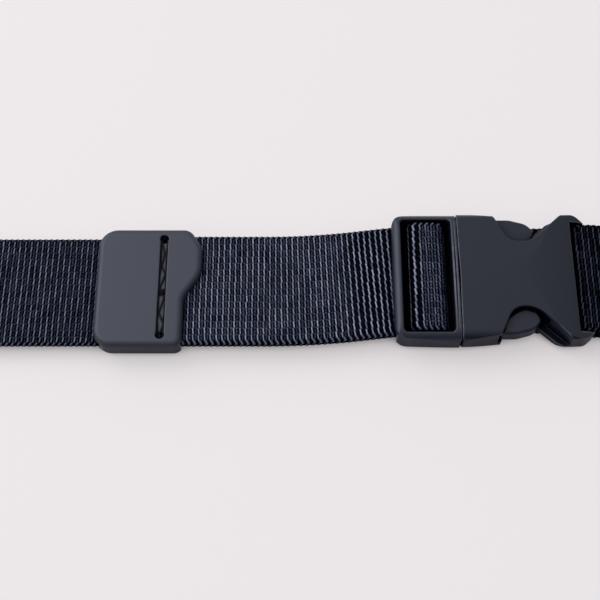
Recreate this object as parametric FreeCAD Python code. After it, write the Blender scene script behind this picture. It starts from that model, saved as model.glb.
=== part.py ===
"""Dive weight belt, fastened and laid flat: a loop of 50 mm webbing with a side-release buckle and a strap keeper.

Row frame, in millimetres: +X runs along the belt from the keeper towards the buckle's socket, +Y is across the strap,
+Z is up. The origin is under the middle of the belt, on the surface that it rests on.

The strap is one length of webbing. From the socket's bar it runs right, turns under, comes back along the floor,
turns up at the left end, passes through the keeper, under the plug's centre bar and up round it, and then goes back
left as the tail, whose end is sewn to the keeper. Rigid nodes stand for it: one for each body that it moves with.
"""
import FreeCAD, Part
import math
import os

V = FreeCAD.Vector

# ---------------------------------------------------------------- driving dimensions
STRAP_WIDTH = 50.0
STRAP_THICK = 2.4
SIDE_PLAY = 0.5            # from the strap's edge to the side of an opening that it runs through
LAYER_GAP = 0.2            # between two layers of strap that lie on each other
BELT_END_X = 200.0         # middle of the webbing at the two end turns
TURN_TOP_Z = 12.0          # middle of the webbing at the top of an end turn
TURN_RADIUS = 5.2          # a stiff strap doesn't fold flat

# heights of the middle of the webbing, layer by layer
BASE_Z = STRAP_THICK / 2
LIVE_Z = 6.0
TAIL_Z = LIVE_Z + STRAP_THICK + LAYER_GAP

# plug: the ladder frame, its bars and its two sprung latch arms. It widens towards the socket
PLUG_LEFT, PLUG_RIGHT = 39.2, 66.8
PLUG_LEFT_HALF_WIDTH, PLUG_RIGHT_HALF_WIDTH = 28.2, 29.5
PLUG_BOTTOM, PLUG_TOP = 3.0, 15.6
WINDOW_LEFT, WINDOW_RIGHT = 43.0, 64.4
WINDOW_HALF_WIDTH = STRAP_WIDTH / 2 + 0.9
CENTRE_BAR_LEFT, CENTRE_BAR_RIGHT = 49.2, 58.6
CENTRE_BAR_BOTTOM, CENTRE_BAR_TOP = 7.7, 11.6
GUIDE_END_X = 96.0
ARM_PIVOT_X, ARM_PIVOT_Y, ARM_PIVOT_RADIUS = 68.6, 20.4, 1.5
ARM_BOTTOM, ARM_TOP = 5.8, 13.2
HOOK_X, HOOK_Y = 84.4, 26.6

# socket: a flat sleeve with finger openings in its sides and a strap bar between its two ears
SOCKET_LEFT, SOCKET_PLATE_END, SOCKET_RIGHT = 67.2, 115.9, 124.4
MOUTH_HALF_WIDTH, WAIST_HALF_WIDTH, EAR_HALF_WIDTH = 29.6, 27.5, 29.2
SOCKET_BOTTOM, SOCKET_TOP = 2.8, 16.6
CAVITY_HALF_WIDTH = 24.6
CAVITY_BOTTOM, CAVITY_TOP = 5.4, 14.1
CAVITY_END_X = 104.0
STRAP_BAR_X, STRAP_BAR_Z, STRAP_BAR_RADIUS = 120.5, 8.0, 1.8

# keeper: a sleeve that slides on the live strap, with the tail's end sewn under its front plate
KEEPER_LEFT, KEEPER_NARROW, KEEPER_BULGE = -86.2, -49.0, -41.7
KEEPER_HALF_WIDTH = 27.2
KEEPER_BOTTOM, KEEPER_TOP = 2.7, 12.4
KEEPER_INSIDE_HALF_WIDTH = STRAP_WIDTH / 2 + SIDE_PLAY
KEEPER_INSIDE_BOTTOM, KEEPER_INSIDE_TOP = 4.5, 10.1
KEEPER_BACK_END_X = -54.0
SEAM_X, SEAM_HALF_LENGTH, SEAM_CHANNEL_WIDTH = -58.1, 24.0, 3.2
SEAM_CHANNEL_FLOOR_Z = 11.2 # the plate is thin under the seam, so that a needle goes through

# The belt waves a little: the buckle lies further back across the belt than the keeper does. The strap's sides
# follow one centre line, and its two corners are where it leaves the keeper's line and joins the buckle's.
BUCKLE_Y, KEEPER_Y = 1.1, -3.36
WAVE_START_X, WAVE_START_RADIUS = 5.0, 320.0
WAVE_END_X, WAVE_END_RADIUS = 41.0, 70.0

# where the rigid stand-ins for the strap are divided
TAIL_SEWN_END_X, TAIL_SPLIT_X = -74.0, -50.0
BASE_SPLIT_X = 60.0
FOLDED_END_X = 163.0
SPLIT_GAP = 0.15

FAR = 300.0                # longer than anything, for cutting tools


# ---------------------------------------------------------------- outlines and solids
def place(u, v, plane):
    """A point of an outline, put in its plane of the row frame."""
    return {"xy": V(u, v, 0), "xz": V(u, 0, v), "yz": V(0, u, v)}[plane]


def corner_arc(before, corner, after, radius):
    """Where a corner's round starts, its middle and where it ends."""
    a = (before - corner).normalize()
    b = (after - corner).normalize()
    half = a.getAngle(b) / 2
    bisector = (a + b).normalize()
    reach = radius / math.tan(half)
    centre = corner + bisector * (radius / math.sin(half))
    return corner + a * reach, centre - bisector * radius, corner + b * reach


def outline_edges(points, plane, closed=True):
    """Lines and arcs through (u, v, radius) corners. A radius of 0 is a sharp corner."""
    at = [place(u, v, plane) for u, v, _ in points]
    count = len(at)
    edges, here, first = [], None, None
    for i, (corner, (_, _, radius)) in enumerate(zip(at, points)):
        is_end = not closed and i in (0, count - 1)
        if radius and not is_end:
            start, middle, end = corner_arc(at[i - 1], corner, at[(i + 1) % count], radius)
        else:
            start = end = corner
        if here is not None and (start - here).Length > 1e-7:
            edges.append(Part.makeLine(here, start))
        if start is not end:
            edges.append(Part.Arc(start, middle, end).toShape())
        first = first or start
        here = end
    if closed and (first - here).Length > 1e-7:
        edges.append(Part.makeLine(here, first))
    return edges


def prism(points, plane, low, high):
    """A closed outline, pushed through its plane from low to high."""
    across = {"xy": V(0, 0, 1), "xz": V(0, 1, 0), "yz": V(1, 0, 0)}[plane]
    face = Part.Face(Part.Wire(outline_edges(points, plane)))
    face.translate(across * low)
    return face.extrude(across * (high - low))


def box(x0, x1, y0, y1, z0, z1):
    return Part.makeBox(x1 - x0, y1 - y0, z1 - z0, V(x0, y0, z0))


def across_strap(x0, x1, half_width, z0, z1):
    """A box that is centred across the belt."""
    return box(x0, x1, -half_width, half_width, z0, z1)


def mirrored(points):
    """An outline's corners reflected in the belt's middle line, in an order that still runs round it."""
    return [(u, -v, radius) for u, v, radius in reversed(points)]


def rounded_body(plan, side, end):
    """What three outlines share: from above, from the side and from the end."""
    body = prism(plan, "xy", -FAR, FAR)
    body = body.common(prism(side, "xz", -FAR, FAR))
    return body.common(prism(end, "yz", -FAR, FAR))


def crowned_end(half_width, bottom, side_top, middle_top, bottom_radius, top_radius, crown_radius):
    """A section across the belt whose top face is a little higher in the middle."""
    return [
        (-half_width, bottom, bottom_radius),
        (half_width, bottom, bottom_radius),
        (half_width, side_top, top_radius),
        (0, middle_top, crown_radius),
        (-half_width, side_top, top_radius),
    ]


def softened(solid, radius, chosen):
    """The solid with its chosen edges rounded."""
    edges = [e for e in solid.Edges if chosen(e)]
    return solid.makeFillet(radius, edges)


def strap(path):
    """Webbing along a path of (x, z, bend radius) corners, as a solid with the strap's thickness and width."""
    centre = outline_edges(path, "xz", closed=False)
    top, bottom = [], []
    for edge in centre:
        offset_pair = [offset_edge(edge, side * STRAP_THICK / 2) for side in (1, -1)]
        top.append(offset_pair[0])
        bottom.append(offset_pair[1])
    ends = [
        Part.makeLine(bottom[0].valueAt(bottom[0].FirstParameter), top[0].valueAt(top[0].FirstParameter)),
        Part.makeLine(top[-1].valueAt(top[-1].LastParameter), bottom[-1].valueAt(bottom[-1].LastParameter)),
    ]
    face = Part.Face(Part.Wire(Part.__sortEdges__(top + bottom + ends)))
    face.translate(V(0, -STRAP_WIDTH, 0))
    return face.extrude(V(0, 2 * STRAP_WIDTH, 0)).common(strap_sides())


def strap_sides():
    """Everything between the strap's two edges, which follow the belt's gentle wave."""
    heading = math.atan2(BUCKLE_Y - KEEPER_Y, WAVE_END_X - WAVE_START_X)

    def edge_line(side):
        shift = side * STRAP_WIDTH / 2
        slip = shift * math.tan(heading / 2)    # along the belt, from a corner of the middle line to the edge's
        return [
            (-FAR, KEEPER_Y + shift, 0),
            (WAVE_START_X - slip, KEEPER_Y + shift, WAVE_START_RADIUS - shift),
            (WAVE_END_X - slip, BUCKLE_Y + shift, WAVE_END_RADIUS + shift),
            (FAR, BUCKLE_Y + shift, 0),
        ]

    return prism(edge_line(-1) + edge_line(1)[::-1], "xy", -FAR, FAR)


def offset_edge(edge, distance):
    """A line or an arc of the strap's middle, moved to one of its faces."""
    def moved(parameter):
        tangent = edge.tangentAt(parameter)
        return edge.valueAt(parameter) + V(-tangent.z, 0, tangent.x) * distance

    start, end = edge.FirstParameter, edge.LastParameter
    if isinstance(edge.Curve, Part.Line):
        return Part.makeLine(moved(start), moved(end))
    return Part.Arc(moved(start), moved((start + end) / 2), moved(end)).toShape()


# ---------------------------------------------------------------- the plug
def plug_frame():
    plan = [
        (PLUG_LEFT, -PLUG_LEFT_HALF_WIDTH, 6.0),
        (PLUG_RIGHT, -PLUG_RIGHT_HALF_WIDTH, 0.8),
        (PLUG_RIGHT, PLUG_RIGHT_HALF_WIDTH, 0.8),
        (PLUG_LEFT, PLUG_LEFT_HALF_WIDTH, 6.0),
    ]
    side = [
        (PLUG_LEFT, PLUG_BOTTOM, 2.0),
        (PLUG_RIGHT, PLUG_BOTTOM, 0.5),
        (PLUG_RIGHT, PLUG_TOP + 0.2, 0.6),
        (WINDOW_RIGHT - 6.0, PLUG_TOP - 0.2, 30.0),
        (PLUG_LEFT, PLUG_TOP - 0.8, 3.0),
    ]
    end = crowned_end(PLUG_RIGHT_HALF_WIDTH, PLUG_BOTTOM, PLUG_TOP - 1.0, PLUG_TOP + 0.1, 2.2, 5.0, 200.0)
    frame = rounded_body(plan, side, end)
    window = [
        (WINDOW_LEFT, -WINDOW_HALF_WIDTH, 1.8),
        (WINDOW_RIGHT, -WINDOW_HALF_WIDTH, 1.8),
        (WINDOW_RIGHT, WINDOW_HALF_WIDTH, 1.8),
        (WINDOW_LEFT, WINDOW_HALF_WIDTH, 1.8),
    ]
    frame = frame.cut(prism(window, "xy", -FAR, FAR))
    strap_exit_top = TAIL_Z + STRAP_THICK / 2 + 0.5
    frame = frame.cut(across_strap(PLUG_LEFT - 5, WINDOW_LEFT + 2, WINDOW_HALF_WIDTH, -FAR, strap_exit_top))
    groove_x = (WINDOW_RIGHT + PLUG_RIGHT) / 2
    frame = frame.cut(across_strap(groove_x - 0.3, groove_x + 0.3, FAR, PLUG_TOP - 0.9, FAR))
    frame = frame.fuse([centre_bar(), guide_tongue()] + arm_roots()).removeSplitter()
    return softened(frame, 0.7, is_window_rim)


def is_window_rim(edge):
    """The upper rim of the plug's window, as far as the strap rubs on it."""
    box_ = edge.BoundBox
    inside = WINDOW_LEFT - 0.1 < box_.XMin and box_.XMax < WINDOW_RIGHT + 0.1
    return inside and box_.ZMin > PLUG_TOP - 1.5 and max(abs(box_.YMin), abs(box_.YMax)) < WINDOW_HALF_WIDTH + 0.1


def centre_bar():
    section = [
        (CENTRE_BAR_LEFT, CENTRE_BAR_BOTTOM, 1.2),
        (CENTRE_BAR_RIGHT, CENTRE_BAR_BOTTOM, 1.2),
        (CENTRE_BAR_RIGHT, CENTRE_BAR_TOP, 1.5),
        (CENTRE_BAR_LEFT, CENTRE_BAR_TOP, 1.7),
    ]
    return prism(section, "xz", -WINDOW_HALF_WIDTH - 0.6, WINDOW_HALF_WIDTH + 0.6)


def guide_tongue():
    """The middle guide that keeps the plug straight in the socket."""
    half = 3.2
    plan = [
        (PLUG_RIGHT - 1.0, -half, 0),
        (GUIDE_END_X, -half, 2.4),
        (GUIDE_END_X, half, 2.4),
        (PLUG_RIGHT - 1.0, half, 0),
    ]
    return prism(plan, "xy", ARM_BOTTOM + 0.4, ARM_TOP - 0.2)


def arm_roots():
    """Two short blocks on the plug that each living hinge grows from, hollowed round the hinge."""
    roots = []
    for side in (1, -1):
        y = side * ARM_PIVOT_Y
        block = box(PLUG_RIGHT - 1.0, ARM_PIVOT_X + 0.4, y - 3.4, y + 3.4, ARM_BOTTOM, ARM_TOP)
        hollow = Part.makeCylinder(ARM_PIVOT_RADIUS + 0.25, FAR, V(ARM_PIVOT_X, y, 0))
        swing = box(ARM_PIVOT_X - 0.1, FAR, y - 3.0, y + 2.6, -FAR, FAR)
        roots.append(block.cut(hollow).cut(swing))
    return roots


def latch_arm(side):
    """One sprung arm: a leaf from the living hinge, the hook, and the button that a finger presses."""
    plan = [
        (ARM_PIVOT_X, ARM_PIVOT_Y - 1.4, 0),
        (85.0, 20.4, 4.0),
        (89.5, 17.0, 5.0),
        (93.8, 14.8, 3.0),
        (98.8, 16.4, 3.0),
        (100.8, 20.6, 3.0),
        (97.4, 24.6, 7.0),
        (90.0, HOOK_Y, 9.0),
        (HOOK_X - 1.2, HOOK_Y, 0.5),
        (HOOK_X + 0.1, 24.2, 0.4),
        (ARM_PIVOT_X, ARM_PIVOT_Y + 1.4, 0),
    ]
    arm = prism(plan if side > 0 else mirrored(plan), "xy", ARM_BOTTOM, ARM_TOP)
    arm = softened(arm, 1.1, is_button_rim)
    knuckle = Part.makeCylinder(
        ARM_PIVOT_RADIUS, ARM_TOP - ARM_BOTTOM, V(ARM_PIVOT_X, side * ARM_PIVOT_Y, ARM_BOTTOM)
    )
    return arm.fuse(knuckle).removeSplitter()


def is_button_rim(edge):
    """The top and bottom rims of the button's outer side, where a finger rests."""
    box_ = edge.BoundBox
    flat = box_.ZLength < 0.01
    return flat and box_.XMin > HOOK_X + 0.3 and min(abs(box_.YMin), abs(box_.YMax)) > 20.0


# ---------------------------------------------------------------- the socket
# The front plate reaches over the hooks a little further than the side walls that they catch on.
FRONT_OPENING = [(81.6, 31.0, 4.0), (89.0, 15.2, 6.8), (98.2, 15.2, 11.0), (115.0, 31.0, 4.0)]
WALL_OPENING = [(80.6, 31.0, 4.0), (88.4, 15.2, 7.0), (98.2, 15.2, 11.0), (115.0, 31.0, 4.0)]
BACK_OPENING = [(82.6, 31.0, 4.0), (87.6, 18.9, 6.0), (97.6, 18.9, 9.0), (111.0, 31.0, 4.0)]


def finger_opening(curve, side, low, high):
    """A tool that cuts a finger opening in one side, from a curve that it closes out past the socket."""
    first, last = curve[0][0], curve[-1][0]
    points = [(first, FAR, 0), *curve, (last, FAR, 0)]
    return prism(points if side > 0 else mirrored(points), "xy", low, high)


def socket_body():
    upper_side = [
        (SOCKET_RIGHT, EAR_HALF_WIDTH - 5.6, 5.0),
        (118.6, EAR_HALF_WIDTH - 0.5, 5.0),
        (110.5, EAR_HALF_WIDTH, 1.5),
        (107.0, WAIST_HALF_WIDTH, 1.0),
        (83.5, WAIST_HALF_WIDTH, 12.0),
        (SOCKET_LEFT, MOUTH_HALF_WIDTH, 1.2),
    ]
    side = [
        (SOCKET_LEFT, SOCKET_BOTTOM, 0.8),
        (SOCKET_RIGHT, SOCKET_BOTTOM, 2.5),
        (SOCKET_RIGHT, 11.2, 3.0),
        (105.0, 16.2, 95.0),
        (SOCKET_LEFT, SOCKET_TOP, 0.9),
    ]
    end = crowned_end(MOUTH_HALF_WIDTH, SOCKET_BOTTOM, SOCKET_TOP - 1.7, SOCKET_TOP, 3.6, 4.6, 150.0)
    body = rounded_body(upper_side + mirrored(upper_side), side, end)
    inside = crowned_end(CAVITY_HALF_WIDTH, CAVITY_BOTTOM, CAVITY_TOP - 0.4, CAVITY_TOP, 0.8, 1.0, 150.0)
    body = body.cut(prism(inside, "yz", SOCKET_LEFT - 1, CAVITY_END_X))
    plate_underside = CAVITY_TOP - 0.4
    for y_side in (1, -1):
        body = body.cut(finger_opening(FRONT_OPENING, y_side, plate_underside, FAR))
        body = body.cut(finger_opening(WALL_OPENING, y_side, CAVITY_BOTTOM, plate_underside))
        body = body.cut(finger_opening(BACK_OPENING, y_side, -FAR, CAVITY_BOTTOM))
    recess = across_strap(SOCKET_PLATE_END, FAR, STRAP_WIDTH / 2 + SIDE_PLAY, -FAR, FAR)
    body = softened(body.cut(recess).removeSplitter(), 0.6, is_front_opening_rim)
    bar = Part.makeCylinder(
        STRAP_BAR_RADIUS, STRAP_WIDTH + 1.6, V(STRAP_BAR_X, -STRAP_WIDTH / 2 - 0.8, STRAP_BAR_Z), V(0, 1, 0)
    )
    return body.fuse(bar).removeSplitter()


def is_front_opening_rim(edge):
    """The right flank of each finger opening's rim on the front face. The rounding runs on along the rest."""
    box_ = edge.BoundBox
    on_front = box_.ZMin > CAVITY_TOP + 0.5
    return on_front and 100 < box_.XMin and box_.XMax < 109.5 and box_.YLength > 4


# ---------------------------------------------------------------- the keeper
def keeper_plan():
    """The keeper from above, with the double curve that a thumb pushes on."""
    return [
        (KEEPER_LEFT, -KEEPER_HALF_WIDTH, 8.0),
        (KEEPER_NARROW, -KEEPER_HALF_WIDTH, 3.8),
        (KEEPER_NARROW, -5.0, 8.0),
        (KEEPER_BULGE, 6.0, 14.0),
        (KEEPER_BULGE, 19.0, 10.0),
        (-47.4, KEEPER_HALF_WIDTH, 5.0),
        (KEEPER_LEFT, KEEPER_HALF_WIDTH, 8.0),
    ]


def keeper_body():
    body = prism(keeper_plan(), "xy", KEEPER_BOTTOM, KEEPER_TOP)
    body = softened(body, 2.4, lambda edge: edge.BoundBox.ZMin > KEEPER_TOP - 0.01)
    body = softened(body, 1.2, lambda edge: edge.BoundBox.ZMax < KEEPER_BOTTOM + 0.01)
    inside = across_strap(-FAR, FAR, KEEPER_INSIDE_HALF_WIDTH, KEEPER_INSIDE_BOTTOM, KEEPER_INSIDE_TOP)
    open_back = across_strap(KEEPER_BACK_END_X, FAR, KEEPER_INSIDE_HALF_WIDTH, -FAR, KEEPER_INSIDE_TOP)
    return softened(body.cut([inside, open_back, seam_channel()]), 0.3, is_channel_rim)


def seam_channel():
    """The channel that the tail is sewn along, with a round hole through the plate at each end."""
    half_width, hole_radius = SEAM_CHANNEL_WIDTH / 2, SEAM_CHANNEL_WIDTH / 2 + 0.25
    hole_y = SEAM_HALF_LENGTH - hole_radius
    channel = box(SEAM_X - half_width, SEAM_X + half_width, -hole_y, hole_y, SEAM_CHANNEL_FLOOR_Z, FAR)
    low = KEEPER_INSIDE_TOP - 1
    holes = [Part.makeCylinder(hole_radius, FAR, V(SEAM_X, side * hole_y, low)) for side in (1, -1)]
    return channel.fuse(holes)


def is_channel_rim(edge):
    """The channel's upper rim."""
    box_ = edge.BoundBox
    return box_.ZMin > KEEPER_TOP - 0.01 and abs(box_.Center.x - SEAM_X) < SEAM_CHANNEL_WIDTH


def keeper_seam():
    """The seam that holds the tail's end to the front plate, as a row of thick stitches in the channel."""
    count, radius = 9, 0.5
    step = 2 * (SEAM_HALF_LENGTH - 2.4) / count
    length = step - 2 * radius - 0.3
    middle_z = SEAM_CHANNEL_FLOOR_Z + 0.05 + radius
    stitches = []
    for i in range(count):
        y = (i - (count - 1) / 2) * step
        shank = Part.makeCylinder(radius, length, V(SEAM_X, y - length / 2, middle_z), V(0, 1, 0))
        ends = [Part.makeSphere(radius, V(SEAM_X, y + s * length / 2, middle_z)) for s in (1, -1)]
        stitches.append(shank.fuse(ends).removeSplitter())
    return Part.makeCompound(stitches)


# ---------------------------------------------------------------- the strap
def end_turn(side, level, lead):
    """Corners that take the strap up from a level into an end turn and down to the floor."""
    return [
        (side * (BELT_END_X - lead), level, 40.0),
        (side * (BELT_END_X - 11.0), TURN_TOP_Z - 0.4, 14.0),
        (side * BELT_END_X, TURN_TOP_Z, TURN_RADIUS),
        (side * BELT_END_X, BASE_Z, TURN_RADIUS),
    ]


def belt_webbing():
    """From the tail's first bend, over the plug's bar, back through the keeper and round the left end."""
    over_bar_z = CENTRE_BAR_TOP + LAYER_GAP + STRAP_THICK / 2
    behind_bar_x = CENTRE_BAR_RIGHT + LAYER_GAP + STRAP_THICK / 2 + 0.3
    path = [
        (TAIL_SPLIT_X, TAIL_Z, 0),
        (CENTRE_BAR_LEFT - 3.0, TAIL_Z, 2.6),
        (CENTRE_BAR_LEFT - 0.9, over_bar_z, 2.5),
        (behind_bar_x, over_bar_z, 2.3),
        (behind_bar_x, LIVE_Z, 2.3),
    ]
    path += end_turn(-1, LIVE_Z, 42.0)
    path += [(BASE_SPLIT_X, BASE_Z, 0)]
    return strap(path)


def tail_end_webbing():
    """The sewn end of the tail, under the keeper's front plate."""
    return strap([(TAIL_SEWN_END_X, TAIL_Z, 0), (TAIL_SPLIT_X - SPLIT_GAP, TAIL_Z, 0)])


def socket_webbing():
    """From the folded end, round the socket's bar, over to the right end turn and back along the floor."""
    bend = STRAP_BAR_RADIUS + LAYER_GAP - 0.05 + STRAP_THICK / 2
    low, high = STRAP_BAR_Z - bend, STRAP_BAR_Z + bend
    path = [
        (FOLDED_END_X, LIVE_Z, 0),
        (135.0, LIVE_Z, 14.0),
        (127.0, low, 10.0),
        (STRAP_BAR_X - bend, low, bend * 0.999),
        (STRAP_BAR_X - bend, high, bend * 0.999),
        (126.0, high, 8.0),
        (138.0, TAIL_Z, 14.0),
    ]
    path += end_turn(1, TAIL_Z, 30.0)
    path += [(BASE_SPLIT_X + SPLIT_GAP, BASE_Z, 0)]
    return strap(path)


def loop_seam():
    """The seam through both layers that closes the strap round the socket's bar: a box of raised stitches."""
    top = TAIL_Z + STRAP_THICK / 2 + 0.05
    height, width = 0.5, 1.0
    left, right, half = 142.0, 159.0, 20.0
    outer = across_strap(left, right, half, top, top + height)
    return outer.cut(across_strap(left + width, right - width, half - width, top - 1, top + height + 1))


def moved_across(shape, y):
    return shape.translated(V(0, y, 0))


NODES = {
    "plug_frame": lambda: moved_across(plug_frame(), BUCKLE_Y),
    "upper_latch_arm": lambda: moved_across(latch_arm(1), BUCKLE_Y),
    "lower_latch_arm": lambda: moved_across(latch_arm(-1), BUCKLE_Y),
    "socket_body": lambda: moved_across(socket_body(), BUCKLE_Y),
    "keeper_body": lambda: moved_across(keeper_body(), KEEPER_Y),
    "keeper_seam": lambda: moved_across(keeper_seam(), KEEPER_Y),
    "belt_webbing": belt_webbing,
    "tail_end_webbing": tail_end_webbing,
    "socket_webbing": socket_webbing,
    "loop_seam": lambda: moved_across(loop_seam(), BUCKLE_Y),
}

os.makedirs("parts", exist_ok=True)
for name, make in NODES.items():
    shape = make()
    print(name, "valid", shape.isValid(), "solids", len(shape.Solids), "mm3", round(shape.Volume, 1))
    shape.exportStep(f"parts/{name}.step")
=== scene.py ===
import math

import bpy
import numpy as np
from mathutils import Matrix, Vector


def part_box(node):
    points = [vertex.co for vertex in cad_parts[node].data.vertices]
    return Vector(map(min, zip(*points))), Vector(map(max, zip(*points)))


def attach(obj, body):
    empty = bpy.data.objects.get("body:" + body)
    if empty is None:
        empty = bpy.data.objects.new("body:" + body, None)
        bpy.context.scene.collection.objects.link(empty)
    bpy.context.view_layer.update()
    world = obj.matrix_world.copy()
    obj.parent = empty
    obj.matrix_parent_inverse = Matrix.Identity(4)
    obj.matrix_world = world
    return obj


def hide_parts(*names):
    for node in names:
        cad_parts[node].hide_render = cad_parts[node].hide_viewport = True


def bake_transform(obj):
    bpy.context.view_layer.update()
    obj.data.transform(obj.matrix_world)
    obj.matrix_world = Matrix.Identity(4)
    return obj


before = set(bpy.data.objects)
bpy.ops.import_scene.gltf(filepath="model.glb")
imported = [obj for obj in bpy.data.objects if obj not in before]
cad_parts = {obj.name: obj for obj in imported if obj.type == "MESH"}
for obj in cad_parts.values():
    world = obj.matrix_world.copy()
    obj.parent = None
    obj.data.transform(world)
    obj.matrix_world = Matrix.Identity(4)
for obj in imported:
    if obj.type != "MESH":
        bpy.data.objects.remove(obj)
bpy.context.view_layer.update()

# Looks for the dive weight belt. Blender works in metres. The strap and the seams are worked out in
# millimetres, and MM turns those into metres. Materials, lights and the camera are given in metres.
MM = 0.001
rng = np.random.default_rng(7)


# ---------------------------------------------------------------- what the frame says
def edges_of(node):
    """A node's low and high corners as two arrays, in millimetres."""
    low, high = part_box(node)
    return np.array(low) / MM, np.array(high) / MM


tail_low, tail_high = edges_of("tail_end_webbing")
belt_low, belt_high = edges_of("belt_webbing")
keeper_low, keeper_high = edges_of("keeper_body")
seam_low, seam_high = edges_of("keeper_seam")
loop_low, loop_high = edges_of("loop_seam")
PLUG_LEFT_X = edges_of("plug_frame")[0][0]
BELT_RIGHT_X = edges_of("socket_webbing")[1][0]

HALF_WIDTH = (tail_high[1] - tail_low[1]) / 2
THICK = tail_high[2] - tail_low[2]
LAYER_GAP = 0.2                # between two layers of strap that lie on each other

# middles of the webbing: the heights of its layers, its end turns, and the lines of the keeper and the buckle
BASE_Z = THICK / 2
TAIL_Z = (tail_low[2] + tail_high[2]) / 2
LIVE_Z = TAIL_Z - THICK - LAYER_GAP
OVER_BAR_Z = belt_high[2] - THICK / 2
BEHIND_BAR_X = belt_high[0] - THICK / 2
LEFT_END_X = belt_low[0] + THICK / 2
RIGHT_END_X = BELT_RIGHT_X - THICK / 2
TURN_TOP_Z, TURN_RADIUS = 12.0, 5.2
KEEPER_Y = (tail_low[1] + tail_high[1]) / 2
BUCKLE_Y = (loop_low[1] + loop_high[1]) / 2

# the loop round the socket's bar, and the folded end, which reaches a little past its seam
LOOP_X, LOOP_Z, LOOP_BEND = 120.5, 8.0, 3.15
LOOP_CORNER_RADIUS = LOOP_BEND * 0.999
FOLDED_END_X = loop_high[0] + 4.0


# ---------------------------------------------------------------- the strap's path
PATH_STEP = 0.05               # between two points of the path


def rounded_path(corners):
    """Points along the lines and bends through (x, z, bend radius) corners, dense in the bends."""
    at = [np.array(corner[:2], float) for corner in corners]
    points = [at[0]]
    for before, here, after, corner in zip(at, at[1:], at[2:], corners[1:]):
        a, b = (before - here), (after - here)
        a, b = a / np.linalg.norm(a), b / np.linalg.norm(b)
        half = math.acos(np.clip(a @ b, -1, 1)) / 2
        radius = corner[2]
        middle = (a + b) / np.linalg.norm(a + b)
        centre = here + middle * radius / math.sin(half)
        start, end = here + a * radius / math.tan(half), here + b * radius / math.tan(half)
        first, last = (math.atan2(*(p - centre)[::-1]) for p in (start, end))
        turn = (last - first + math.pi) % (2 * math.pi) - math.pi
        angles = first + turn * np.linspace(0, 1, max(3, int(abs(turn) * radius / PATH_STEP)))
        points += [centre + radius * np.array([math.cos(t), math.sin(t)]) for t in angles]
    points.append(at[-1])
    points = np.array(points)
    keep = np.r_[True, np.linalg.norm(np.diff(points, axis=0), axis=1) > 1e-6]
    return points[keep]


def arc_lengths(points):
    """The distance along a line of points from its start to each of them."""
    return np.r_[0, np.cumsum(np.linalg.norm(np.diff(points, axis=0), axis=1))]


# (x, z, bend radius) of the strap's middle, from the tail's sewn end, round the belt, to the folded end
STRAP_CORNERS = [
    (tail_low[0], TAIL_Z, 0),
    (46.2, TAIL_Z, 2.6),
    (48.3, OVER_BAR_Z, 2.5),
    (BEHIND_BAR_X, OVER_BAR_Z, 2.3),
    (BEHIND_BAR_X, LIVE_Z, 2.3),
    (LEFT_END_X + 42.0, LIVE_Z, 40.0),
    (LEFT_END_X + 11.0, TURN_TOP_Z - 0.4, 14.0),
    (LEFT_END_X, TURN_TOP_Z, TURN_RADIUS),
    (LEFT_END_X, BASE_Z, TURN_RADIUS),
    (RIGHT_END_X, BASE_Z, TURN_RADIUS),
    (RIGHT_END_X, TURN_TOP_Z, TURN_RADIUS),
    (RIGHT_END_X - 11.0, TURN_TOP_Z - 0.4, 14.0),
    (RIGHT_END_X - 30.0, TAIL_Z, 40.0),
    (138.0, TAIL_Z, 14.0),
    (126.0, LOOP_Z + LOOP_BEND, 8.0),
    (LOOP_X - LOOP_BEND, LOOP_Z + LOOP_BEND, LOOP_CORNER_RADIUS),
    (LOOP_X - LOOP_BEND, LOOP_Z - LOOP_BEND, LOOP_CORNER_RADIUS),
    (127.0, LOOP_Z - LOOP_BEND, 10.0),
    (135.0, LIVE_Z, 14.0),
    (FOLDED_END_X, LIVE_Z, 0),
]
corner_path = rounded_path(STRAP_CORNERS)
corner_s = arc_lengths(corner_path)
STRAP_LENGTH = corner_s[-1]
path_s = np.linspace(0, STRAP_LENGTH, int(STRAP_LENGTH / PATH_STEP))
path = np.stack([np.interp(path_s, corner_s, corner_path[:, k]) for k in range(2)], axis=1)


def path_frame(s):
    """Position and unit tangent of the strap's middle at arc lengths s, seen from the side."""
    def at(t):
        return np.stack([np.interp(t, path_s, path[:, 0]), np.interp(t, path_s, path[:, 1])], axis=1)

    reach = 0.15
    tangent = at(np.minimum(s + reach, STRAP_LENGTH)) - at(np.maximum(s - reach, 0))
    return at(s), tangent / np.linalg.norm(tangent, axis=1)[:, None]


def arc_length_at(x, z, heading):
    """The arc length where the strap, heading for +X if heading is 1 or -X if -1, passes nearest to (x, z)."""
    direction = np.sign(np.gradient(path[:, 0]))
    distance = np.hypot(path[:, 0] - x, path[:, 1] - z)
    return path_s[np.argmin(np.where(direction == heading, distance, np.inf))]


# Arc lengths where one piece of the strap ends and the next begins. A few millimetres take each join under a
# bar, into the keeper or past the loop's bend.
BACK_LEFT_X, BACK_RIGHT_X = -170.0, 165.0
over_bar_start = arc_length_at(PLUG_LEFT_X + 2, TAIL_Z, 1)
over_bar_end = arc_length_at(BEHIND_BAR_X, (OVER_BAR_Z + LIVE_Z) / 2, -1)
in_keeper = arc_length_at(keeper_low[0] + 8, LIVE_Z, -1)
back_left = arc_length_at(BACK_LEFT_X, BASE_Z, 1)
back_right = arc_length_at(BACK_RIGHT_X, BASE_Z, 1)
under_loop = arc_length_at(LOOP_X + 6, LOOP_Z - LOOP_BEND, 1)

# the whole back layer, between the two end turns
layer_start = arc_length_at(LEFT_END_X + 8, BASE_Z, 1)
layer_end = arc_length_at(RIGHT_END_X - 8, BASE_Z, 1)

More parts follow.
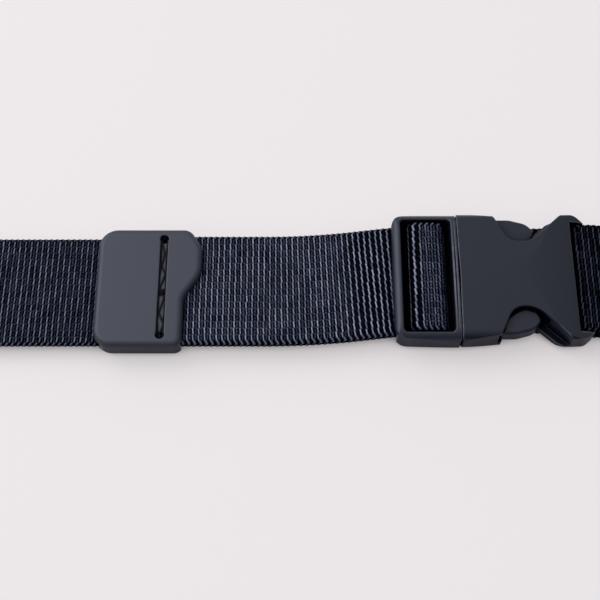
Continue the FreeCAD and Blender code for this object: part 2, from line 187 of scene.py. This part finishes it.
# (x, y, bend radius) of the belt's gentle wave, seen from above: it leaves the keeper's line for the buckle's
wave = rounded_path([
    (-300.0, KEEPER_Y, 0),
    (5.0, KEEPER_Y, 320.0),
    (41.0, BUCKLE_Y, 70.0),
    (300.0, BUCKLE_Y, 0),
])
wave_heading = np.gradient(wave[:, 1], wave[:, 0])


def on_wave(x, across, lift_x):
    """Where a point lies, seen from above, that is across from the strap's middle and lift_x along it.

    The ribs lean half as far as the strap turns, because the buckle's bars hold them.
    """
    heading = np.arctan(np.interp(x, wave[:, 0], wave_heading)) / 2
    centre = np.interp(x, wave[:, 0], wave[:, 1])
    cos, sin = np.cos(heading), np.sin(heading)
    return x + lift_x * cos - across * sin, centre + lift_x * sin + across * cos


# ---------------------------------------------------------------- the weave
RIB = 2.45                     # from one rib to the next, along the strap
DASH = 3.0                     # from one float to the next, along a rib
RELIEF = 0.46                  # from the pockets' floor to the crowns
SELVEDGE = 1.8                 # how far in from its edge the strap is edged with slanting strands
EDGE_ROUND = 1.15              # how far in from its edge the strap's faces stop being flat
EDGE_TUCK = 0.25               # what the round edge gives up of its width, so that its strands have room
FACE_SHIFT = 0.25              # how far the second face's ribs lie from the first one's, in ribs
FIRST_DASH = 40.0              # the float number at the strap's middle, high enough that none is negative
NOISE_RIBS, NOISE_DASHES = 512, 64
SIDEWAYS, CREST, FAINT, PHASE = range(4)   # the layers of random numbers
cell_noise = rng.normal(0, 1, (4, NOISE_RIBS, NOISE_DASHES))


def cell_random(layer, rib, dash):
    """The same random number for every point of one float."""
    return cell_noise[layer, np.mod(rib, NOISE_RIBS).astype(int), np.mod(dash, NOISE_DASHES).astype(int)]


def rise_between(x, start, end):
    """0 on start's side, 1 on end's side, with a smooth step between. It falls if start is above end."""
    t = np.clip((x - start) / (end - start), 0, 1)
    return t * t * (3 - 2 * t)


def ridge(distance, half_width, sharpness=2.0):
    """A rounded ridge of height 1 that falls away on both sides."""
    return np.exp(-np.abs(distance / half_width) ** sharpness)


def weave_height(s, y, face, opened, pressed):
    """Height of the woven surface, from 0 at the pockets' floor to 1 at the crowns.

    Each rib is a chain of hooked floats that overlap like the strands of a rope. A fainter strand lies
    between two ribs, and a deep pocket opens beside each float. opened is 1 where a bend pulls the ribs
    apart, and pressed is 1 where a bar flattens them.
    """
    rib = np.floor(s / RIB + FACE_SHIFT * face + 0.5)
    from_rib = s - (rib - FACE_SHIFT * face) * RIB
    dashes = y / DASH + FIRST_DASH + 0.09 * np.mod(rib, 2) + 0.05 * cell_random(PHASE, rib, 0 * rib)
    dash = np.floor(dashes)
    along = dashes - dash
    joint = rise_between(along, 0, 0.16) * rise_between(along, 1, 0.87)     # 0 where two floats meet

    hook = (0.14 + 0.16 * opened) * (0.5 - along) + 0.05 * np.sin(2 * np.pi * along)
    from_crest = from_rib - hook - 0.06 * cell_random(SIDEWAYS, rib, dash)
    crest_top = 0.56 + 0.40 * joint + 0.08 * cell_random(CREST, rib, dash) + 0.14 * opened * (1 - joint)
    crest = crest_top * (1 - 0.22 * pressed) * ridge(from_crest, 0.40 + 0.10 * opened, 2.4)

    from_halfway = RIB / 2 - np.abs(from_rib)
    twist = np.sin(2 * np.pi * (2 * along + 0.3 + 0.1 * from_halfway))
    faint_top = 0.46 + 0.11 * twist + 0.07 * cell_random(FAINT, rib, dash)
    faint = faint_top * (1 - 0.70 * opened + 0.20 * pressed) * ridge(from_halfway, 0.62, 3.0)

    bridge = (0.50 - 0.30 * opened) * (1 - joint) * ridge(from_rib, 1.0, 4.0)
    pocket = 0.46 * ridge(np.abs(from_crest) - 0.60, 0.20) * ridge(along - 0.5, 0.30, 3.0)
    highest = np.maximum(np.maximum(crest, faint), bridge)
    return np.clip(0.12 + 0.88 * highest - pocket, 0, 1.1)


def selvedge_height(s, depth):
    """Height of the slanting strands that bind the strap's edge. depth is the distance in from the edge."""
    slant = 0.45 * (1 - depth / SELVEDGE)
    strand = 0.5 + 0.5 * np.cos(2 * np.pi * (s / RIB - slant))
    return 0.12 + 0.68 * strand ** 1.3


def surface_height(s, y, x, depth, face):
    """Height of the strap's surface: its weave, and near its edges the strands that bind them."""
    before_turn = s < over_bar_end
    opened = rise_between(x, 14.0, 28.0) * rise_between(x, 53.5, 49.5) * before_turn
    pressed = rise_between(x, 50.5, 52.5) * before_turn * (s > over_bar_start)
    weave = weave_height(s, y, face, opened, pressed)
    edging = selvedge_height(s, depth)
    inward = rise_between(depth, SELVEDGE - 0.8, SELVEDGE + 0.1)
    return weave * inward + edging * (1 - inward)


def strap_section(first_samples, second_samples, edge_samples=7):
    """Rows of y, z, outward y, outward z, depth in from the edge, and face, for points round the section."""
    flat = HALF_WIDTH - EDGE_ROUND
    half = THICK / 2 - RELIEF
    rows = []
    for face, samples in ((0, first_samples), (1, second_samples)):
        sign = 1 - 2 * face
        for y in sign * np.linspace(-flat, flat, samples):
            rows.append((y, sign * half, 0.0, sign, HALF_WIDTH - abs(y), face))
        for t in np.linspace(math.pi / 2, -math.pi / 2, edge_samples + 2)[1:-1]:
            out, up = math.cos(t), math.sin(t)
            y = flat + (EDGE_ROUND - EDGE_TUCK) * out
            rows.append((sign * y, sign * half * up, sign * out, sign * up, EDGE_ROUND * (1 - out), face))
    return np.array(rows).T


def sideways(s, x):
    """How far the strap's middle lies to one side: its back layer rests a little behind the front ones."""
    lead = 70.0
    most = 2.2 + 1.2 * rise_between(x, -70.0, -40.0)
    leading_in = rise_between(s, layer_start, layer_start + lead)
    leading_out = rise_between(s, layer_end, layer_end - lead)
    return most * leading_in * leading_out


def tube_faces(rings, ring):
    """Faces of a closed tube, whose vertices are rings of ring points, with a cap at each end."""
    i, j = np.meshgrid(np.arange(rings - 1), np.arange(ring), indexing="ij")
    here, onward = i * ring, (i + 1) * ring
    after = (j + 1) % ring
    quads = np.stack([here + j, onward + j, onward + after, here + after], axis=2).reshape(-1, 4)
    first_cap = list(range(ring))
    last_cap = list(range((rings - 1) * ring, rings * ring))
    return quads.tolist() + [first_cap, last_cap[::-1]]


def new_piece(name, vertices, faces):
    """A smooth object from vertices in millimetres and faces."""
    mesh = bpy.data.meshes.new(name)
    mesh.from_pydata((vertices * MM).tolist(), [], faces)
    mesh.update()
    mesh.shade_smooth()
    piece = bpy.data.objects.new(name, mesh)
    bpy.context.scene.collection.objects.link(piece)
    return piece


def add_attribute(piece, name, values):
    """Gives each vertex of a piece one number or one vector, for its material."""
    kind, field = ("FLOAT_VECTOR", "vector") if values.shape[-1] == 3 else ("FLOAT", "value")
    attribute = piece.data.attributes.new(name, kind, "POINT")
    attribute.data.foreach_set(field, values.astype(np.float32).ravel())


def strap_piece(name, s_from, s_to, per_rib, first_samples, second_samples, painted_light_shares=((0, 1.0),)):
    """One piece of the woven strap, between two arc lengths, with per_rib rings of points to a rib.

    The samples are points across its first face, which is on the left of its heading, and across its second
    face. tones are (x, brightness) pairs of painted shade for the material, which are joined by straight
    lines: 1 keeps a run's full colour, and less darkens it where it catches less light.
    """
    rings = max(3, int(round((s_to - s_from) / RIB * per_rib)) + 1)
    middle_s = np.linspace(s_from, s_to, rings)
    centre, tangent = path_frame(middle_s)
    normal = np.stack([-tangent[:, 1], tangent[:, 0]], axis=1)
    section = strap_section(first_samples, second_samples)
    section_y, section_z, out_y, out_z, section_depth, section_face = section
    s, y = np.meshgrid(middle_s, section_y, indexing="ij")
    x, depth, face = (np.broadcast_to(a, s.shape) for a in (centre[:, :1], section_depth, section_face))
    height = surface_height(s, y, x, depth, face)
    across = y + RELIEF * height * out_y + sideways(middle_s, centre[:, 0])[:, None]
    lift = section_z + RELIEF * height * out_z
    world_x, world_y = on_wave(x, across, normal[:, :1] * lift)
    world_z = centre[:, 1:] + normal[:, 1:] * lift
    vertices = np.stack([world_x, world_y, world_z], axis=2).reshape(-1, 3)
    piece = new_piece(name, vertices, tube_faces(rings, len(section_y)))
    add_attribute(piece, "weave", height[..., None])
    # painted shade: the share of its full colour that each vertex keeps, by x
    add_attribute(piece, "painted_light_share", np.interp(x, *zip(*painted_light_shares))[..., None])
    add_attribute(piece, "strap", np.stack([s, y, face * 9.0], axis=2))
    return piece


# ---------------------------------------------------------------- materials
def linear(r, g, b):
    """A colour given in sRGB from 0 to 255, as linear red, green and blue from 0 to 1, and alpha."""
    channels = (c / 255 for c in (r, g, b))
    return tuple(((c + 0.055) / 1.055) ** 2.4 if c > 0.04 else c / 12.92 for c in channels) + (1.0,)


class Nodes:
    """A short way to write the node tree of a material or a world, whose shader node is there already."""

    def __init__(self, owner, shader="Principled BSDF"):
        owner.use_nodes = True
        self.tree = owner.node_tree
        self.shader = self.tree.nodes[shader]

    def give(self, socket, value):
        """Links a node's output to a socket, or sets the socket to a plain value."""
        if isinstance(value, bpy.types.NodeSocket):
            self.tree.links.new(value, socket)
        else:
            socket.default_value = value

    def add(self, kind, inputs=None, **settings):
        node = self.tree.nodes.new(kind)
        for key, value in settings.items():
            setattr(node, key, value)
        for key, value in (inputs or {}).items():
            self.give(node.inputs[key], value)
        return node

    def feed(self, **inputs):
        """Gives the shader its inputs, whose names are written with _ for a space."""
        for key, value in inputs.items():
            self.give(self.shader.inputs[key.replace("_", " ")], value)

    def math(self, operation, a, b, clamp=False):
        return self.add("ShaderNodeMath", {0: a, 1: b}, operation=operation, use_clamp=clamp).outputs[0]

    def times(self, a, b, clamp=False):
        return self.math("MULTIPLY", a, b, clamp)

    def minus(self, a, b):
        return self.math("SUBTRACT", a, b)

    def dot(self, a, b):
        return self.add("ShaderNodeVectorMath", {0: a, 1: b}, operation="DOT_PRODUCT").outputs["Value"]

    def scaled(self, colour, factor):
        """A colour multiplied by a factor."""
        node = self.add("ShaderNodeVectorMath", {0: colour, "Scale": factor}, operation="SCALE")
        return node.outputs["Vector"]

    def ramp(self, factor, *stops):
        node = self.add("ShaderNodeValToRGB", {"Fac": factor})
        elements = node.color_ramp.elements
        while len(elements) < len(stops):
            elements.new(0.5)
        for element, (position, colour) in zip(elements, stops):
            element.position, element.color = position, colour
        return node.outputs["Color"]

    def noise(self, scale, place, detail, roughness=0.5):
        inputs = {"Scale": scale, "Vector": place, "Detail": detail, "Roughness": roughness}
        return self.add("ShaderNodeTexNoise", inputs).outputs["Fac"]

    def attribute(self, name, output="Fac"):
        return self.add("ShaderNodeAttribute", attribute_name=name).outputs[output]

    def bump(self, height, strength, distance, normal=None):
        node = self.add("ShaderNodeBump", {"Height": height, "Strength": strength, "Distance": distance})
        if normal:
            self.give(node.inputs["Normal"], normal)
        return node.outputs["Normal"]

    def openness(self, reach, inside=False):
        """How open each point is, from 0 deep in a gap to 1. Inside, it is low where a part is thin."""
        node = self.add("ShaderNodeAmbientOcclusion", {"Distance": reach}, samples=8, inside=inside)
        return node.outputs["AO"]

    def camera_ray(self):
        return self.add("ShaderNodeLightPath").outputs["Is Camera Ray"]


COOL = (0.84, 0.91, 1.0, 1.0)  # what reflections are tinted with


def webbing_material():
    """Nylon webbing. Its colour follows the weave's height: painted shade blackens its pockets and painted
    highlight turns its floats blue-grey. Each piece's tone adds painted shade where its run catches less
    light.
    """
    material = bpy.data.materials.new("webbing")
    n = Nodes(material)
    height, painted_light_share, strap = n.attribute("weave"), n.attribute("painted_light_share"), n.attribute("strap", "Vector")
    drawn_out = n.add("ShaderNodeMapping", {"Scale": (6.0, 1.6, 1.0), "Vector": strap}).outputs["Vector"]
    fibre = n.noise(1.7, drawn_out, 3.0, 0.7)
    patches = n.noise(0.16, strap, 3.0)
    # painted shade and painted highlight: the ramp's input rises with the weave's height, from black pockets
    # to light floats; the fibres and patches add real variation
    shade = n.math("ADD", height, n.times(n.minus(fibre, 0.5), 0.38))
    shade = n.math("ADD", shade, n.times(n.minus(patches, 0.5), 0.16))
    # painted shade: a lower tone darkens the run and caps its highlights
    shade = n.math("SUBTRACT", shade, n.times(n.minus(1.0, painted_light_share), 0.25), clamp=True)
    shade = n.math("MINIMUM", shade, n.math("ADD", n.times(painted_light_share, 0.55), 0.45))
    colour = n.ramp(
        shade,
        (0.12, linear(0, 0, 3)),
        (0.34, linear(18, 22, 34)),
        (0.60, linear(54, 60, 79)),
        (0.80, linear(114, 119, 138)),
        (0.98, linear(156, 160, 178)),
    )
    # painted shade: darker where other strap lies within 5 mm, and scaled by the run's tone
    painted_shade_factor = n.times(n.math("POWER", n.openness(0.005), 1.3), painted_light_share)
    # reflections only on the floats, weakened by the same painted shade
    crest_reflection_with_painted_shade = n.times(n.times(n.minus(height, 0.45), 0.4, clamp=True), painted_shade_factor)
    n.feed(Base_Color=n.scaled(colour, painted_shade_factor), Roughness=0.45, Normal=n.bump(fibre, 0.4, 0.00010))
    n.feed(Specular_IOR_Level=crest_reflection_with_painted_shade, Specular_Tint=COOL)
    return material


def plastic_material(name, body, light, roughness, grain, shelter_reach):
    """Moulded plastic with fine grain. Its side walls get painted shade, as they reflect less than its upward
    faces, and its rounded edges get lighter rims, partly rubbed wear and partly painted highlight.

    body and light are sRGB colours of the faces and of the lighter rims, and a higher grain is a finer one.
    Painted shade darkens each point, and weakens its reflections, by what lies within shelter_reach of it.
    """
    material = bpy.data.materials.new(name)
    n = Nodes(material)
    place = n.add("ShaderNodeTexCoord").outputs["Object"]
    fine = n.noise(grain, place, 3.0, 0.6)
    cloud = n.noise(45.0, place, 4.0, 0.55)
    rubbed = n.noise(420.0, place, 3.0, 0.6)

    rounded = n.add("ShaderNodeBevel", {"Radius": 0.0007}, samples=6).outputs["Normal"]
    flat = n.add("ShaderNodeNewGeometry").outputs["Normal"]
    # lighter rims on rounded and thin edges: partly rubbed wear, partly painted highlight
    edge = n.times(n.minus(1.0, n.dot(rounded, flat)), 3.0, clamp=True)
    thin_rim = n.times(n.minus(0.72, n.openness(0.0009, inside=True)), 2.6, clamp=True)
    rubbed_and_highlit_rim = n.times(n.math("MAXIMUM", edge, thin_rim), n.math("ADD", rubbed, 0.25), clamp=True)
    lightness = n.math("ADD", n.times(cloud, 0.4), rubbed_and_highlit_rim, clamp=True)
    brighter_body = linear(*(c * 1.12 for c in body))
    colour = n.ramp(lightness, (0.10, linear(*body)), (0.35, brighter_body), (1.0, linear(*light)))

    # painted shade: darker in gaps and recesses, in colour and in reflections
    painted_shade_factor = n.math("POWER", n.openness(shelter_reach), 1.5)
    # painted shade: side walls reflect less than upward faces
    upward = n.add("ShaderNodeSeparateXYZ", {0: rounded}).outputs["Z"]
    faces_up = n.times(n.minus(upward, 0.15), 1.8, clamp=True)
    reflection_with_painted_shade = n.times(painted_shade_factor, n.math("ADD", n.times(faces_up, 0.40), 0.10))
    rough = n.math("ADD", n.times(n.minus(cloud, 0.5), 0.16), roughness, clamp=True)
    grained = n.bump(fine, 0.25, 0.00004, rounded)
    n.feed(Base_Color=n.scaled(colour, painted_shade_factor), Roughness=rough, Normal=grained)
    n.feed(Specular_IOR_Level=reflection_with_painted_shade, Specular_Tint=COOL)
    return material


def thread_material():
    """Thick black thread with a little fuzz."""
    material = bpy.data.materials.new("thread")
    n = Nodes(material)
    fuzz = n.noise(2600.0, n.add("ShaderNodeTexCoord").outputs["Object"], 3.0, 0.6)
    colour = n.ramp(fuzz, (0.3, linear(1, 1, 4)), (0.9, linear(16, 17, 24)))
    n.feed(Base_Color=colour, Roughness=0.5, Normal=n.bump(fuzz, 0.5, 0.00012), Specular_IOR_Level=0.15)
    return material


def dress(piece, material):
    """Gives a piece one material, in place of any that it came with."""
    piece.data.materials.clear()
    piece.data.materials.append(material)


webbing = webbing_material()
thread = thread_material()
buckle_plastic = plastic_material("buckle_plastic", (3, 7, 26), (128, 133, 150), 0.30, 5200.0, 0.005)
# painted light: the plug frame is the buckle's plastic with a lighter body, for the light its rounded bars
# catch from the left
plug_plastic_painted_lighter = plastic_material("plug_plastic_painted_lighter", (27, 31, 45), (132, 137, 152), 0.34, 5200.0, 0.005)
keeper_plastic = plastic_material("keeper_plastic", (42, 45, 57), (118, 120, 131), 0.40, 3800.0, 0.0009)

# ---------------------------------------------------------------- the strap's pieces
WOVEN, HALF_WOVEN, PLAIN = 160, 92, 30     # points across a face that is in view, seldom seen, or hidden
SHADED, DEEPLY_SHADED = 0.80, 0.46                  # painted shade: tones of the runs that catch less light than the tail does
# painted shade along the runs by x: near black where the tail lies low in the window's gap, darker past the
# bar, and darker along the back towards the socket
OVER_BAR_PAINTED_SHADE = ((42.0, 1.0), (43.5, 0.1), (46.2, 0.1), (47.4, 0.80), (50.0, 0.92), (54.0, 0.95))
BACK_PAINTED_SHADE = ((40.0, SHADED), (120.0, DEEPLY_SHADED))

strap_tail = strap_piece("strap_tail", 0.0, over_bar_start, 9, WOVEN, PLAIN)
strap_over_bar = strap_piece("strap_over_bar", over_bar_start, over_bar_end, 9, WOVEN, PLAIN, OVER_BAR_PAINTED_SHADE)
strap_under = strap_piece("strap_under", over_bar_end, in_keeper, 5, PLAIN, PLAIN, ((0, SHADED),))
strap_left = strap_piece("strap_left", in_keeper, back_left, 7, PLAIN, WOVEN, ((0, SHADED),))
strap_back = strap_piece("strap_back", back_left, back_right, 5, PLAIN, HALF_WOVEN, BACK_PAINTED_SHADE)
strap_right = strap_piece("strap_right", back_right, under_loop, 7, PLAIN, WOVEN, ((0, DEEPLY_SHADED),))
strap_folded = strap_piece("strap_folded", under_loop, STRAP_LENGTH, 6, HALF_WOVEN, PLAIN, ((0, DEEPLY_SHADED),))
for strap in (strap_tail, strap_over_bar, strap_under, strap_left, strap_back, strap_right, strap_folded):
    dress(strap, webbing)

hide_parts("tail_end_webbing")
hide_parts("belt_webbing")
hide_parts("socket_webbing")
for strap in (strap_over_bar, strap_under, strap_left):
    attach(strap, "belt")
for strap in (strap_right, strap_folded):
    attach(strap, "socket")
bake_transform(strap_tail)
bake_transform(strap_back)


# ---------------------------------------------------------------- the seams
def unit(vectors):
    """Each row of vectors, at length 1."""
    return vectors / np.linalg.norm(vectors, axis=1)[:, None]


def thread_tube(points, radius, around=10, step=0.18):
    """Vertices and faces of two-ply thread along a smooth curve near points, in millimetres."""
    points = np.array(points, float)
    knots = arc_lengths(points)
    rings = max(4, int(knots[-1] / step))
    t = np.linspace(0, knots[-1], rings)
    line = np.stack([np.interp(t, knots, points[:, k]) for k in range(3)], axis=1)
    for _ in range(3):
        line[1:-1] = (line[:-2] + 2 * line[1:-1] + line[2:]) / 4
    tangent = unit(np.gradient(line, axis=0))
    side = unit(np.cross(tangent, [0.12, 0.07, 1.0]))      # off the vertical, which no thread may run along
    top = np.cross(side, tangent)
    angle = np.linspace(0, 2 * np.pi, around, endpoint=False)[None, :]
    taper = np.clip(np.minimum(t, t[-1] - t) / radius, 0.15, 1)[:, None] ** 0.5
    twist = 2.6 * t[:, None] / (radius * 3)
    ply = radius * taper * (0.84 + 0.16 * np.cos(2 * (angle - twist)))
    ring = side[:, None, :] * np.cos(angle)[..., None] + top[:, None, :] * np.sin(angle)[..., None]
    vertices = (line[:, None, :] + ring * ply[..., None]).reshape(-1, 3)
    return vertices, tube_faces(rings, around)


def thread_piece(name, runs, radius):
    """Runs of thread as one mesh."""
    vertices, faces = [], []
    for run in runs:
        run_vertices, run_faces = thread_tube(run, radius)
        first = sum(len(v) for v in vertices)
        vertices.append(run_vertices)
        faces += [[first + i for i in face] for face in run_faces]
    piece = new_piece(name, np.concatenate(vertices), faces)
    dress(piece, thread)
    return piece


def keeper_seam_runs():
    """Thick thread along the keeper's channel.

    One row crosses from side to side, a row lies along each side, a bundle fills each end, and a knot sits
    between the ends.
    """
    x = (seam_low[0] + seam_high[0]) / 2
    low, high = seam_low[1] - 1.6, seam_high[1] + 1.6
    bed = seam_low[2] + 0.30
    row_x, bundle_x, swing_x = 1.22, 1.2, 0.65
    crossing_pitch, wander = 5.6, 1.1

    stations = np.arange(low, high + 0.1, crossing_pitch)
    stations = np.clip(stations + rng.normal(0, wander, len(stations)), low, high)
    swings = [(swing_x if i % 2 else -swing_x) + rng.normal(0, 0.3) for i in range(len(stations))]
    runs = [[(x + swing, y, bed) for swing, y in zip(swings, stations)]]
    for side in (-1, 1):
        row = np.linspace(low + 1, high - 1, 14)
        runs.append([(x + side * (row_x + rng.normal(0, 0.10)), y, bed - 0.1) for y in row])
    for end in (low - 0.4, high + 0.4):
        for k in range(4):
            y, down = end + (k - 1.5) * 0.70, bed - 0.9
            runs.append([(x - bundle_x, y, down), (x, y + 0.25, bed + 0.1), (x + bundle_x, y, down)])
    knot_y = low + 0.44 * (high - low)
    for k in range(3):
        y = knot_y + (k - 1) * 0.9
        left, right = (x - bundle_x, y - 0.5, bed), (x + bundle_x, y + 0.5, bed)
        runs.append([left, (x + 0.1, y + 0.3, bed + 0.5), right])
    return runs


def stitch_row(start, end, z, length=2.7, gap=0.5):
    """Lock stitches from one point to another, each a short bow of thread."""
    start, end = np.array(start), np.array(end)
    span = np.linalg.norm(end - start)
    count = int(span // (length + gap))
    pitch = span / count
    direction = (end - start) / span
    row = []
    for i in range(count):
        a = start + direction * (i * pitch + gap / 2)
        b = start + direction * ((i + 1) * pitch - gap / 2)
        middle = (a + b) / 2 + rng.normal(0, 0.05, 2)
        row.append([(*a, z - 0.15), (*middle, z + 0.3), (*b, z - 0.15)])
    return row


def loop_seam_runs():
    """A box of lock stitches with a cross inside, through both layers at the socket's bar."""
    left, right, near, far = loop_low[0], loop_high[0], loop_low[1], loop_high[1]
    corners = [(left, near), (right, near), (right, far), (left, far)]
    lines = [*zip(corners, corners[1:] + corners[:1]), (corners[0], corners[2]), (corners[1], corners[3])]
    surface = loop_low[2] + 0.25
    return [run for start, end in lines for run in stitch_row(start, end, surface)]


keeper_thread = thread_piece("keeper_thread", keeper_seam_runs(), 0.29)
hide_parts("keeper_seam")
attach(keeper_thread, "keeper")
loop_thread = thread_piece("loop_thread", loop_seam_runs(), 0.38)
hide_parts("loop_seam")
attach(loop_thread, "socket")

# ---------------------------------------------------------------- the CAD nodes that stay
for node in ("upper_latch_arm", "lower_latch_arm", "socket_body"):
    dress(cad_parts[node], buckle_plastic)
dress(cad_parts["plug_frame"], plug_plastic_painted_lighter)
dress(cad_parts["keeper_body"], keeper_plastic)


# ---------------------------------------------------------------- floor, light and camera
def pale_floor(half_size=3.0, clearance=0.0003, shadow_fill=0.55):
    """A plain floor just below the belt. The camera sees it glow in the open, which lightens its shadows."""
    corners = [(x * half_size, y * half_size, 0) for x, y in ((-1, -1), (1, -1), (1, 1), (-1, 1))]
    mesh = bpy.data.meshes.new("floor")
    mesh.from_pydata(corners, [], [(0, 1, 2, 3)])
    floor = bpy.data.objects.new("floor", mesh)
    bpy.context.scene.collection.objects.link(floor)
    floor.location.z = -clearance
    paper = bpy.data.materials.new("paper")
    n = Nodes(paper)
    in_open = n.math("SUBTRACT", n.times(n.openness(0.03), 2.5), 0.25, clamp=True)
    glow = n.times(n.times(n.camera_ray(), shadow_fill), in_open)
    lit = n.scaled(linear(240, 236, 238)[:3], n.minus(1.0, glow))
    n.feed(Base_Color=lit, Roughness=0.75, Specular_IOR_Level=0.2)
    n.feed(Emission_Color=linear(236, 231, 233), Emission_Strength=glow)
    dress(floor, paper)


def soft_sky():
    """Light from all round, brighter to one side, with a window's glow. The camera sees a pale backdrop."""
    world = bpy.data.worlds.new("studio")
    bpy.context.scene.world = world
    n = Nodes(world, "Background")
    direction = n.add("ShaderNodeTexCoord").outputs["Generated"]
    brighter_side = n.dot(direction, (-0.35, 0.45, 0.82))
    levels = {"From Min": -0.35, "From Max": 1.0, "To Min": 0.03, "To Max": 0.98, "Value": brighter_side}
    all_round = n.add("ShaderNodeMapRange", levels).outputs["Result"]
    towards_window = n.dot(direction, Vector((-0.62, 0.30, 0.72)).normalized())
    window = n.times(n.math("POWER", n.math("MAXIMUM", towards_window, 0.0), 7.0), 0.6)
    backdrop = n.times(n.camera_ray(), 0.80)
    strength = n.math("MAXIMUM", n.math("ADD", window, all_round), backdrop)
    n.feed(Color=(1.0, 0.985, 0.995, 1), Strength=strength)


def look_along(item, direction):
    """Turns a light or the camera so that it looks along a direction."""
    item.rotation_mode = "QUATERNION"
    item.rotation_quaternion = direction.to_track_quat("-Z", "Y")


def key_light():
    """A soft square light above the far left, aimed at the origin."""
    data = bpy.data.lights.new("key", "AREA")
    data.size, data.energy = 1.2, 7.0
    lamp = bpy.data.objects.new("key", data)
    lamp.location = (-0.9, 0.5, 1.1)
    look_along(lamp, -lamp.location)
    bpy.context.scene.collection.objects.link(lamp)


def tilted_camera(tilt=math.radians(24.0), distance=0.478, aim=(0.0, -0.008, 0.008)):
    """A camera over the belt's near side, tilted from straight down."""
    data = bpy.data.cameras.new("camera")
    data.lens, data.sensor_width, data.clip_start = 67.8, 36.0, 0.01
    camera = bpy.data.objects.new("camera", data)
    back = Vector((0, -math.sin(tilt), math.cos(tilt)))
    camera.location = Vector(aim) + back * distance
    look_along(camera, -back)
    bpy.context.scene.collection.objects.link(camera)
    bpy.context.scene.camera = camera


pale_floor()
soft_sky()
key_light()
tilted_camera()
bpy.context.scene.view_settings.view_transform = "Standard"
